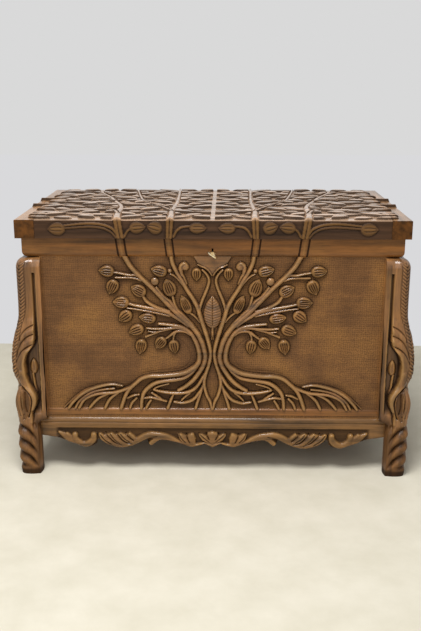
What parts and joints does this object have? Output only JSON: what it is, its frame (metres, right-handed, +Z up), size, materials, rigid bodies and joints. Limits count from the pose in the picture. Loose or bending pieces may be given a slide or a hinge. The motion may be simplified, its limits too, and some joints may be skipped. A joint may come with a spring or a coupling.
{
  "type": "dowry chest",
  "caption": "Carved wooden dowry chest on rope-twist cabriole legs, with a leaf-carved hinged lid over a tree-of-life front panel, a scalloped apron and a box lock with its key.",
  "frame": {"origin": "on the floor under the middle of the chest", "axes": "+Z up, +X to the right of someone facing the front, -Y out of the front"},
  "size_m": [1.045, 0.615, 0.698],
  "materials": {
    "carved_wood": "satin varnish",
    "plain_wood": "matte",
    "key_brass": "worn satin",
    "ironwork": "dull"
  },
  "bodies": {
    "carcass": {"apron_back": "plain_wood", "apron_front": "carved_wood", "apron_left": "carved_wood", "apron_right": "carved_wood", "bead_front": "carved_wood", "bead_left": "carved_wood", "bead_right": "carved_wood", "crown_back": "carved_wood", "crown_dowels": "plain_wood", "crown_front": "carved_wood", "crown_left": "carved_wood", "crown_right": "carved_wood", "floor_board_1": "plain_wood", "floor_board_2": "plain_wood", "floor_board_3": "plain_wood", "floor_board_4": "plain_wood", "floor_crossbar": "plain_wood", "floor_ledger_back": "plain_wood", "floor_ledger_front": "plain_wood", "floor_ledger_left": "plain_wood", "floor_ledger_right": "plain_wood", "hinge_body_screws": "ironwork", "hinge_left_body_leaf": "ironwork", "hinge_left_pin": "ironwork", "hinge_right_body_leaf": "ironwork", "hinge_right_pin": "ironwork", "leg_front_left": "carved_wood", "leg_front_right": "carved_wood", "leg_rear_left": "carved_wood", "leg_rear_right": "carved_wood", "lock_case": "ironwork", "lock_cover": "ironwork", "lock_screws": "ironwork", "panel_back": "plain_wood", "panel_front": "carved_wood", "panel_left": "carved_wood", "panel_right": "carved_wood"},
    "lid": {"hinge_left_lid_leaf": "ironwork", "hinge_lid_screws": "ironwork", "hinge_right_lid_leaf": "ironwork", "lid_batten_left": "plain_wood", "lid_batten_middle": "plain_wood", "lid_batten_right": "plain_wood", "lid_batten_screws": "ironwork", "lid_end_left": "carved_wood", "lid_end_right": "carved_wood", "lid_panel": "carved_wood", "lid_rail_back": "carved_wood", "lid_rail_front": "carved_wood", "strike_plate": "ironwork", "strike_screws": "ironwork"},
    "key": {"key": "key_brass"},
    "bolt": {"lock_bolt": "ironwork"}
  },
  "joints": [
    {"name": "lid_hinge", "type": "hinge", "parent": "carcass", "child": "lid", "pos_m": [0, 0.2745, 0.643], "axis": [-1, 0, 0], "range_deg": [0, 105]},
    {"name": "key_turn", "type": "hinge", "parent": "carcass", "child": "key", "pos_m": [0, -0.2715, 0.603], "axis": [0, -1, 0], "range_deg": [0, 125]},
    {"name": "bolt_slide", "type": "slide", "parent": "carcass", "child": "bolt", "axis": [0, 0, 1], "range_m": [0, 0.01]}
  ],
  "couplings": [
    {"joint": "key_turn", "follows": "bolt_slide", "rad_per_m": 218.1}
  ]
}
